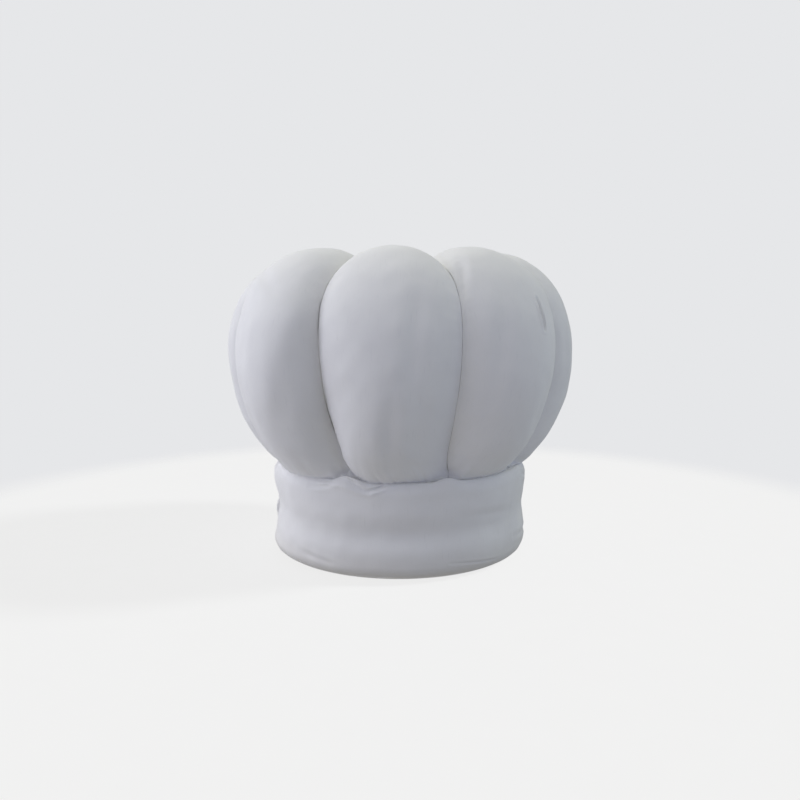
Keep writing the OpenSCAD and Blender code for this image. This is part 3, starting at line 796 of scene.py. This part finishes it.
def build_hooks():
    columns = eased(100.3, 118.3, 60, 0.2)
    tape = cloth_strip(HOOK_LIFT + 0.45, 0.42, STRAP_LOW + 2, STRAP_HIGH - 2, columns, 0.25, None, 24)
    pitch = 0.78
    heights = np.arange(STRAP_LOW + 3.0, STRAP_HIGH - 2.6, 1.25)
    angles, z = np.meshgrid(np.arange(100.9, 117.9, pitch), heights)
    angles = angles + pitch / 2 * (np.arange(angles.shape[0]) % 2)[:, None]
    centre, out = along_strip(HOOK_LIFT + 0.5, angles.ravel(), z.ravel())
    way = np.cross(out, [0, 0, 1.0])
    hooks = arches(centre, way, -out, np.full((angles.size, 1), 0.42), 0.07, 0.62)
    return piece("hook_strip_tape", "hook_strip", "hook_tape", [tape, hooks])


def build_casing():
    """The keeper: a raised top and two stitched flanges, in one section swept round the band."""
    low, high, start, stop = STRAP_LOW - 4.0, STRAP_HIGH + 4.0, 62, 82
    flange_t, seam_gap, edge, uneven = 0.55, 0.08, 0.35, 0.0747

    def raised(z, first, full):
        return between(z, low + first, low + full, high - full, high - first)

    def top(z):
        return flange_t + (CASING_LIFT + CASING_T - flange_t) * raised(z, 1.2, 4.6)
    z = np.concatenate([np.linspace(low, low + 3.0, 8), np.linspace(low + 3.6, high - 3.6, 40),
                        np.linspace(high - 3.0, high, 8)])
    z_in = np.concatenate([[low], np.linspace(low + 0.4, low + 2.9, 6),
                           np.linspace(low + 3.6, high - 3.6, 30),
                           np.linspace(high - 2.9, high - 0.4, 6), [high]])
    under = seam_gap + (CASING_LIFT - seam_gap) * raised(z_in, 2.4, 3.9)
    zs = np.concatenate([z, z_in[::-1]])[None]
    lift = np.concatenate([top(z), under[::-1]])[None]
    is_out = np.concatenate([np.ones_like(z), np.zeros_like(z_in)])[None]
    angle = eased(start, stop, 60, edge)[:, None]
    s = np.radians(angle) * BAND_R
    at_seams = bump(zs, low + 2.2, 2.4) + bump(zs, high - 2.2, 2.4)
    pucker = 0.12 * waves(s, zs * 0.2, 8, 4, 9, 55) * is_out * at_seams
    roll = 0.32 * (1 - rounded(np.minimum(angle - start, stop - angle) / edge)) * is_out
    r = band_r(zs) + lift + pucker + uneven * is_out * waves(s, zs, 8, 9, 24, 56) - roll
    p = at_angle(r, angle, zs)
    n, m = p.shape[:2]
    # over each end, the inner line's points are joined to the nearest ones of the outer line
    other = np.round(np.interp(z_in, z, np.arange(len(z)))).astype(int)
    caps = [[m - 1 - i, m - 2 - i] + list(range(other[i + 1], other[i] - 1, -1))
            for i in range(len(z_in) - 1)]
    faces = grid_faces(n, m, close_cols=True) + both_ends(n, m, caps)
    parts = [(p, faces, round_uv(angle, BAND_R, zs + 0 * s), 0)]
    for line in (low + 0.9, low + SEWN_IN + 0.1, high - SEWN_IN - 0.1, high - 0.9):
        parts.append(sewn(top(line) + 0.02, np.linspace(start + 0.6, stop - 0.6, 80), line))
    return piece("strap_casing_cloth", "strap_casing", "band_cotton", parts)


def build_strap():
    def free(angle, z):
        away = between(angle, 82.5, 86, 89, 90.5)
        return 0.06 * waves(np.radians(angle) * BAND_R, z + 0 * angle, 8, 8, 26, 57) * (1 + away) - 0.05
    start, stop = 56.5, 90.5
    columns = eased(start, stop, 120, 0.4)
    parts = [cloth_strip(STRAP_LIFT, STRAP_T, STRAP_LOW, STRAP_HIGH, columns, 0.6, free, 34)]
    for z in (STRAP_LOW + SEWN_IN, STRAP_HIGH - SEWN_IN):
        parts.append(sewn(STRAP_TOP - 0.02, np.linspace(start + 1.1, stop - 0.3, 140), z))
    across = np.linspace(STRAP_LOW + SEWN_IN, STRAP_HIGH - SEWN_IN, 60)
    parts.append(sewn(STRAP_TOP - 0.02, start + 1.1, across))
    return piece("adjuster_strap_cloth", "adjuster_strap", "band_cotton", parts)


def build_tab():
    """The strap's free end, with two round corners and a line of stitches all round."""
    mid_z = (STRAP_LOW + STRAP_HIGH) / 2

    def round_end(z):
        d = np.maximum(np.abs(z - mid_z) - ((STRAP_HIGH - STRAP_LOW) / 2 - TAB_CORNER), 0)
        back = TAB_CORNER - np.sqrt(np.maximum(TAB_CORNER ** 2 - d ** 2, 0))
        return TAB_START + 0 * z, TAB_STOP - np.degrees(back / BAND_R)
    parts = [cloth_strip(STRAP_LIFT, STRAP_T, STRAP_LOW + 0.02, STRAP_HIGH - 0.02,
                         eased(TAB_START, TAB_STOP, 110, 0.4), 0.6, soft(58, 0.06, 0.05), 40, round_end)]
    turn = np.radians(np.linspace(90, 0, 24))
    far = TAB_STOP - np.degrees(TAB_CORNER / BAND_R)
    sewn_r = TAB_CORNER - SEWN_IN
    arc_a = far + np.degrees(sewn_r * np.cos(turn) / BAND_R)
    arc_z = STRAP_HIGH - TAB_CORNER + sewn_r * np.sin(turn)
    out_a, side_z = np.linspace(91.2, far, 60), np.full(60, STRAP_HIGH - SEWN_IN)
    run_a = np.concatenate([out_a, arc_a, arc_a[::-1], out_a[::-1]])
    run_z = np.concatenate([side_z, arc_z, 2 * mid_z - arc_z[::-1], 2 * mid_z - side_z])
    parts.append(sewn(STRAP_TOP - 0.02, run_a, run_z))
    return piece("closure_tab_cloth", "closure_tab", "band_cotton", parts)


def build_tab_thread():
    """The box of stitches that holds the hook strip."""
    sewing = (2.4, 0.7, 0.24)
    parts = [sewn(STRAP_TOP, np.linspace(100.6, 118.0, 100), z, sewing)
             for z in (STRAP_LOW + 3.9, STRAP_HIGH - 3.9)]
    parts += [sewn(STRAP_TOP, angle, np.linspace(STRAP_LOW + 4.4, STRAP_HIGH - 4.4, 60), sewing)
              for angle in (100.9, 117.4)]
    return piece("tab_thread", "tab_stitching", "thread", parts)


def build_binding():
    """The puffed bindings over the two edges of the slit."""
    closing = [(98.6, BAND_H - 1.6), (96.9, 66.0), (COVER_IN + 0.3, 64.6)]
    section = np.concatenate([leg_path(0), face_path(0), closing])
    away = section - section.mean(axis=0)
    away = away / np.linalg.norm(away, axis=1, keepdims=True)
    run = run_length(section)
    pucker = 0.06 * np.sin(run * 1.9 + 2 * np.sin(run * 0.37))[None]
    puff = 0.12 * np.array([-1.4, 0.0, 0.7, 1, 0.7, 0.0, -1.4])[:, None]
    parts = []
    for first in (REAR - SLIT_HALF - 0.5, REAR + SLIT_HALF):
        angle = first + np.array([0, 0.04, 0.13, 0.25, 0.37, 0.46, 0.5])[:, None]
        r = section[None, :, 0] + away[None, :, 0] * (puff + pucker)
        z = section[None, :, 1] + away[None, :, 1] * (puff + pucker)
        n, m = r.shape
        uv = np.stack(np.broadcast_arrays(run[None] + 0 * angle, np.radians(angle) * BAND_R), -1)
        parts.append((at_angle(r, angle, z), grid_faces(n, m, close_cols=True) + both_ends(n, m), uv, 0))
    return piece("slit_edge_binding", "slit_binding", "band_cotton", parts)


# ---------------------------------------------------------------- build and attach
hat_pieces = build_crown() + build_stuffing() + build_webs() + build_top() + build_band() + build_inside()
loops, hooks, casing, strap = build_loops(), build_hooks(), build_casing(), build_strap()
tab, tab_thread, binding = build_tab(), build_tab_thread(), build_binding()

for o in hat_pieces + [loops, casing, binding]:
    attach(o, "hat")
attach(strap, "closure_anchor")
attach(hooks, "closure_tab")
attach(tab_thread, "closure_tab")
fold_start, fold_end = (at_angle(band_r(WAIST_Z) + STRAP_LIFT + STRAP_T / 2, a, WAIST_Z) * MM
                        for a in (90.6, 95.0))
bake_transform(tab)


# ---------------------------------------------------------------- materials
class Nodes:
    """Adds shader nodes to a tree, with their inputs given by name."""

    def __init__(self, tree):
        self.tree = tree

    def add(self, kind, **inputs):
        node = self.tree.nodes.new(kind)
        for key, value in inputs.items():
            self.plug(node, key.replace("_", " "), value)
        return node

    def plug(self, node, key, value):
        if isinstance(value, bpy.types.NodeSocket):
            self.tree.links.new(value, node.inputs[key])
        else:
            node.inputs[key].default_value = value

    def chosen(self, kind, *values, **options):
        """The first output of a node with its options set and its inputs given in order."""
        node = self.tree.nodes.new(kind)
        for key, value in options.items():
            setattr(node, key, value)
        for i, value in enumerate(values):
            self.plug(node, i, value)
        return node.outputs[0]

    def maths(self, operation, *values):
        return self.chosen("ShaderNodeMath", *values, operation=operation)


class Cloth(Nodes):
    """Builds a procedural cloth material step by step. Lengths are metres of real cloth."""

    def __init__(self, name, colour, rough, sheen=0.0):
        self.material = bpy.data.materials.new(name)
        self.material.use_nodes = True
        super().__init__(self.material.node_tree)
        self.shader = self.tree.nodes["Principled BSDF"]
        uv = self.add("ShaderNodeUVMap")
        uv.uv_map = "cloth"
        self.uv = uv.outputs[0]
        self.place = self.add("ShaderNodeTexCoord").outputs["Object"]
        tint = self.add("ShaderNodeRGB")
        tint.outputs[0].default_value = (*colour, 1)
        self.tint = tint.outputs[0]
        value = self.add("ShaderNodeValue")
        value.outputs[0].default_value = rough
        self.rough = value.outputs[0]
        self.bump = None
        if sheen:
            self.plug(self.shader, "Sheen Weight", sheen)
            self.plug(self.shader, "Sheen Roughness", 0.3)
        self.plug(self.shader, "Specular IOR Level", 0.3)

    def noise(self, size, detail=3.0, stretch=(1, 1, 1), flat=True):
        """Noise whose grains are about size metres, on the cloth (flat) or in space."""
        mapping = self.add("ShaderNodeMapping", Vector=self.uv if flat else self.place, Scale=stretch)
        return self.add("ShaderNodeTexNoise", Vector=mapping.outputs[0], Scale=1 / size, Detail=detail,
                        Roughness=0.55).outputs[0]

    def parts_of(self, vector):
        return self.add("ShaderNodeSeparateXYZ", Vector=vector).outputs

    def weave(self, pitch, twill=0.0):
        """Over-and-under threads at a pitch in metres; twill turns a plain weave into diagonal ribs."""
        split = self.parts_of(self.uv)
        wobble = self.noise(pitch * 9, 2)
        k = 2 * math.pi / pitch
        x = self.maths("MULTIPLY_ADD", split[0], k, self.maths("MULTIPLY", wobble, 2.2))
        y = self.maths("MULTIPLY_ADD", split[1], k, self.maths("MULTIPLY", wobble, 1.7))
        if twill:
            return self.maths("SINE", self.maths("MULTIPLY_ADD", x, twill, y))
        return self.maths("MULTIPLY", self.maths("SINE", x), self.maths("SINE", y))

    def press(self, height, distance, strength=1.0):
        """Adds relief of so many metres."""
        node = self.add("ShaderNodeBump", Height=height, Distance=distance, Strength=strength)
        if self.bump is not None:
            self.plug(node, "Normal", self.bump)
        self.bump = node.outputs[0]

    def shade(self, amount, low, high, colour):
        """Mixes the colour towards another where amount lies between low and high."""
        ramp = self.add("ShaderNodeMapRange", Value=amount, From_Min=low, From_Max=high,
                        To_Min=0.0, To_Max=1.0)
        mix = self.add("ShaderNodeMix", Factor=ramp.outputs[0])
        mix.data_type = "RGBA"
        first, second = (socket for socket in mix.inputs if socket.type == "RGBA")
        self.tree.links.new(self.tint, first)
        second.default_value = (*colour, 1)
        self.tint = next(socket for socket in mix.outputs if socket.type == "RGBA")

    def paint_hollow_shading(self, reach, colour):
        """Paints shading from ambient occlusion into the cloth's colour where it is tucked in, within reach
        metres of its neighbour: painted shade with a darker colour, painted light with a lighter one.
        """
        node = self.add("ShaderNodeAmbientOcclusion", Distance=reach)
        node.samples = 6
        self.shade(node.outputs["AO"], 0.75, 0.15, colour)

    def roughen(self, amount, spread):
        self.rough = self.maths("MULTIPLY_ADD", self.maths("SUBTRACT", amount, 0.5), spread, self.rough)

    def sateen(self, blotch_size, blotch_colour, slub_colour):
        """The fine white cotton of crown and band: tight weave, slubs and faint blotches."""
        fine, blotch = self.weave(0.00042), self.noise(blotch_size)
        slub = self.noise(0.0016, 2, (1, 0.12, 1))
        self.shade(blotch, 0.45, 0.8, blotch_colour)
        self.shade(slub, 0.6, 0.8, slub_colour)
        self.press(fine, 0.000035, 0.35)
        self.press(slub, 0.00006, 0.3)
        self.roughen(blotch, 0.16)
        return fine

    def done(self):
        self.plug(self.shader, "Base Color", self.tint)
        self.plug(self.shader, "Roughness", self.rough)
        self.plug(self.shader, "Normal", self.bump)
        return self.material


def crown_cotton():
    c = Cloth("crown_cotton", (0.80, 0.80, 0.80), 0.72, 0.3)
    fine = c.sateen(0.035, (0.765, 0.765, 0.77), (0.755, 0.755, 0.76))
    # painted light in the seams: the colour is made lighter where the cloth is tucked in, standing in for
    # light that comes through the thin cloth
    c.paint_hollow_shading(0.007, (0.86, 0.86, 0.87))
    c.press(c.noise(0.0016, 2, (0.12, 1, 1)), 0.00006, 0.3)
    c.press(c.noise(0.006), 0.00025, 0.25)
    c.roughen(fine, 0.05)
    return c.done()


def band_cotton():
    c = Cloth("band_cotton", (0.78, 0.775, 0.765), 0.7, 0.3)
    c.sateen(0.03, (0.745, 0.74, 0.73), (0.735, 0.73, 0.72))
    # painted shade: darker colour where the cloth is tucked in, in creases and where it meets its neighbours
    c.paint_hollow_shading(0.005, (0.69, 0.685, 0.67))
    # painted shade: a little darker towards the hem, where less light reaches the bottom of the band
    c.shade(c.parts_of(c.place)[2], 0.025, 0.001, (0.65, 0.635, 0.60))
    c.press(c.noise(0.006), 0.00025, 0.25)
    return c.done()


def wadding():
    c = Cloth("wadding", (0.80, 0.79, 0.75), 0.95, 0.5)
    fibre = c.noise(0.0009, 4, (0.3, 1, 1), flat=False)
    tuft = c.noise(0.008, 4, flat=False)
    c.shade(tuft, 0.4, 0.75, (0.70, 0.68, 0.62))
    c.press(fibre, 0.0003, 0.8)
    c.press(tuft, 0.0012, 0.7)
    c.roughen(fibre, 0.1)
    return c.done()


def lining_cotton():
    c = Cloth("lining_cotton", (0.80, 0.80, 0.79), 0.8, 0.2)
    blotch = c.noise(0.025)
    c.shade(blotch, 0.45, 0.8, (0.74, 0.74, 0.73))
    c.press(c.weave(0.0005), 0.00006, 0.45)
    c.press(c.noise(0.012, 4, (1, 0.35, 1)), 0.0006, 0.4)
    c.roughen(blotch, 0.15)
    return c.done()


def towelling():
    c = Cloth("towelling", (0.82, 0.82, 0.81), 0.95, 0.5)
    loops = c.noise(0.0011)
    worn = c.noise(0.03)
    c.shade(worn, 0.5, 0.8, (0.76, 0.755, 0.735))
    # painted shade: darker in the hollows between the loops, where the relief is low
    c.shade(loops, 0.3, 0.1, (0.60, 0.59, 0.57))
    c.press(loops, 0.0006, 0.9)
    c.press(c.weave(0.0021), 0.00025, 0.6)
    c.roughen(worn, 0.1)
    return c.done()


def thread():
    c = Cloth("thread", (0.84, 0.84, 0.82), 0.55, 0.2)
    split = c.parts_of(c.uv)
    twists = 9000.0
    twist = c.maths("SINE", c.maths("MULTIPLY_ADD", split[0], twists, c.maths("MULTIPLY", split[1], twists)))
    # painted shade: darker in the grooves of the twist, where the relief is low
    c.shade(twist, 0.1, -1.0, (0.70, 0.70, 0.68))
    c.press(twist, 0.00006, 0.7)
    c.roughen(c.noise(0.0006, 2, flat=False), 0.2)
    return c.done()


def plain(name, colour, rough, sheen, relief, patches, low, high, patch_colour, spread):
    """A cloth with patches and one kind of relief: what makes it, its size, depth, strength and settings."""
    c = Cloth(name, colour, rough, sheen)
    kind, size, depth, strength, *settings = relief
    raised = getattr(c, kind)(size, *settings)
    patchy = c.noise(*patches)
    c.shade(patchy, low, high, patch_colour)
    c.press(raised, depth, strength)
    c.roughen(patchy, spread)
    return c.done()


stitch = thread()
hook_plastic = plain("hook_tape", (0.74, 0.75, 0.76), 0.5, 0.0, ("weave", 0.0007, 0.0001, 0.7, 1.0),
                     (0.006,), 0.45, 0.8, (0.66, 0.67, 0.68), 0.2)
FINISH = {
    "crown_cotton": (crown_cotton(),), "band_cotton": (band_cotton(), stitch), "wadding": (wadding(),),
    "web_cotton": (plain("web_cotton", (0.78, 0.76, 0.72), 0.85, 0.2, ("weave", 0.0008, 0.0001, 0.6),
                         (0.02,), 0.4, 0.8, (0.72, 0.70, 0.66), 0.15),),
    "lining_cotton": (lining_cotton(),),
    "buckram": (plain("buckram", (0.74, 0.73, 0.70), 0.6, 0.0, ("weave", 0.0013, 0.0002, 0.8),
                      (0.01, 3, (1, 1, 1), False), 0.45, 0.7, (0.66, 0.65, 0.61), 0.3),),
    "towelling": (towelling(),), "thread": (stitch,), "hook_tape": (hook_plastic, hook_plastic),
    "loop_tape": (plain("loop_tape", (0.80, 0.80, 0.79), 0.9, 0.4, ("noise", 0.0007, 0.0004, 0.9, 4),
                        (0.008,), 0.45, 0.8, (0.72, 0.72, 0.71), 0.15), stitch),
    "satin": (plain("satin", (0.82, 0.82, 0.80), 0.36, 0.0, ("weave", 0.00035, 0.00003, 0.6, 3.0),
                    (0.01, 2), 0.45, 0.8, (0.76, 0.76, 0.74), 0.2), stitch)}
for name, slot in (("button_cord", "thread"), ("band_stiffener", "buckram")):
    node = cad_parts[name]
    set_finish(node, slot)
    layer = node.data.uv_layers.new(name="cloth")
    for loop in node.data.loops:
        co = node.data.vertices[loop.vertex_index].co
        layer.data[loop.index].uv = (math.atan2(co.y, co.x) * HEAD_R * MM, co.z)
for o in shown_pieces():
    o.data.materials.clear()
    for m in FINISH[o["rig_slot"]]:
        o.data.materials.append(m)

# ---------------------------------------------------------------- stage, light and camera
SCENE = bpy.context.scene
# Large soft lights round the hat: name, azimuth and height in degrees, strength, colour
LIGHTS = (
    ("left_back", -150, 20, 0.12, (1.00, 1.00, 0.93)),
    ("left", -110, 15, 1.23, (0.84, 0.86, 1.00)),
    ("left_front", -60, 20, 0.67, (0.56, 0.61, 1.00)),
    ("right_front", 60, 20, 0.40, (0.22, 0.34, 1.00)),
    ("right", 110, 15, 0.42, (0.60, 0.80, 1.00)),
    ("back_high", 180, 50, 0.34, (1.00, 0.97, 0.90)),
    ("left_high", -90, 50, 0.86, (1.00, 0.99, 0.84)),
    ("right_high", 90, 50, 0.47, (1.00, 0.96, 0.59)),
    ("left_low", -60, -30, 0.30, (0.99, 0.92, 1.00)),
)
LIGHT_SPREAD = 70
FLOOR_LIGHT = ("floor_sun", 96, 36, 2.0, (1, 1, 1))
FLOOR_LIGHT_SPREAD = 9
LIGHT_DISTANCE = 1.5
AMBIENT = (0.293, 0.293, 0.272)
BACKGROUND = (0.791, 0.799, 0.815)
# The floor is a disc with a soft edge. It glows, and part of its colour is from light, so it takes a shadow
FLOOR = (0.912, 0.912, 0.912)
FLOOR_R = 0.478
FLOOR_EDGE = 0.055
FLOOR_DIFFUSE = 0.13
FLOOR_GRAIN = 0.005
FLOOR_Z = -0.0006
CAMERA_TARGET = Vector((0.0009, 0.0, 0.1202))
CAMERA_FROM = (3.19, 6.3, 0.5956)


def around(azimuth, height, distance):
    a, e = math.radians(azimuth), math.radians(height)
    return Vector((math.sin(a) * math.cos(e), -math.cos(a) * math.cos(e), math.sin(e))) * distance


def aim(obj, place, target):
    SCENE.collection.objects.link(obj)
    obj.location = place
    obj.rotation_euler = (target - place).to_track_quat("-Z", "Y").to_euler()


def light(receivers, spread, name, azimuth, height, strength, colour):
    lamp = bpy.data.objects.new(name, bpy.data.lights.new(name, "SUN"))
    lamp.data.energy = strength
    lamp.data.color = colour
    lamp.data.angle = math.radians(spread)
    aim(lamp, around(azimuth, height, LIGHT_DISTANCE), Vector())
    lamp.light_linking.receiver_collection = receivers


def collection(name, members):
    made = bpy.data.collections.new(name)
    for member in members:
        made.objects.link(member)
    return made


def paper():
    material = bpy.data.materials.new("floor")
    material.use_nodes = True
    material.node_tree.nodes.clear()
    n = Nodes(material.node_tree)
    glow_share = 1 - FLOOR_DIFFUSE
    grain = n.add("ShaderNodeTexNoise", Scale=60)
    level = n.add("ShaderNodeMapRange", Value=grain.outputs[0], To_Min=(1 - FLOOR_GRAIN) * glow_share,
                  To_Max=(1 + FLOOR_GRAIN) * glow_share)
    seen = n.add("ShaderNodeLightPath").outputs["Is Camera Ray"]
    strength = n.maths("MULTIPLY", level.outputs[0], seen)
    glow = n.add("ShaderNodeEmission", Color=(*FLOOR, 1), Strength=strength)
    matt = n.add("ShaderNodeBsdfDiffuse", Color=(*[FLOOR_DIFFUSE] * 3, 1))
    both = n.chosen("ShaderNodeAddShader", glow.outputs[0], matt.outputs[0])
    length = n.add("ShaderNodeVectorMath")
    length.operation = "LENGTH"
    n.plug(length, 0, n.add("ShaderNodeTexCoord").outputs["Object"])
    edge = n.add("ShaderNodeMapRange", Value=length.outputs["Value"], From_Min=FLOOR_R - FLOOR_EDGE,
                 From_Max=FLOOR_R + FLOOR_EDGE)
    edge.interpolation_type = "SMOOTHSTEP"
    clear = n.maths("MAXIMUM", edge.outputs[0], n.add("ShaderNodeNewGeometry").outputs["Backfacing"])
    air = n.add("ShaderNodeBsdfTransparent").outputs[0]
    n.add("ShaderNodeOutputMaterial", Surface=n.chosen("ShaderNodeMixShader", clear, both, air))
    return material


lit_hat = collection("lit_hat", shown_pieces())
for name, azimuth, height, strength, colour in LIGHTS:
    light(lit_hat, LIGHT_SPREAD, name, azimuth, height, strength, colour)

SCENE.world = bpy.data.worlds.new("studio")
SCENE.world.use_nodes = True
n = Nodes(SCENE.world.node_tree)
backdrop = n.tree.nodes["Background"]
n.plug(backdrop, "Color", (*BACKGROUND, 1))
ambient = n.add("ShaderNodeBackground", Color=(*AMBIENT, 1))
to_camera = n.add("ShaderNodeLightPath").outputs["Is Camera Ray"]
sky = n.chosen("ShaderNodeMixShader", to_camera, ambient.outputs[0], backdrop.outputs[0])
n.plug(n.tree.nodes["World Output"], 0, sky)

bpy.ops.mesh.primitive_circle_add(vertices=160, radius=FLOOR_R + 2 * FLOOR_EDGE, fill_type="NGON",
                                  location=(0, 0, FLOOR_Z))
floor = bpy.context.object
floor.name = "floor"
floor.data.materials.append(paper())
floor.visible_shadow = False
floor.visible_diffuse = False
floor.visible_glossy = False
light(collection("lit_floor", [floor]), FLOOR_LIGHT_SPREAD, *FLOOR_LIGHT)

SCENE.view_settings.view_transform = "Standard"
camera = bpy.data.objects.new("camera", bpy.data.cameras.new("camera"))
camera.data.sensor_width = 36
camera.data.lens = 32.085
camera.data.clip_start, camera.data.clip_end = 0.01, 50
aim(camera, CAMERA_TARGET + around(*CAMERA_FROM), CAMERA_TARGET)
SCENE.camera = camera
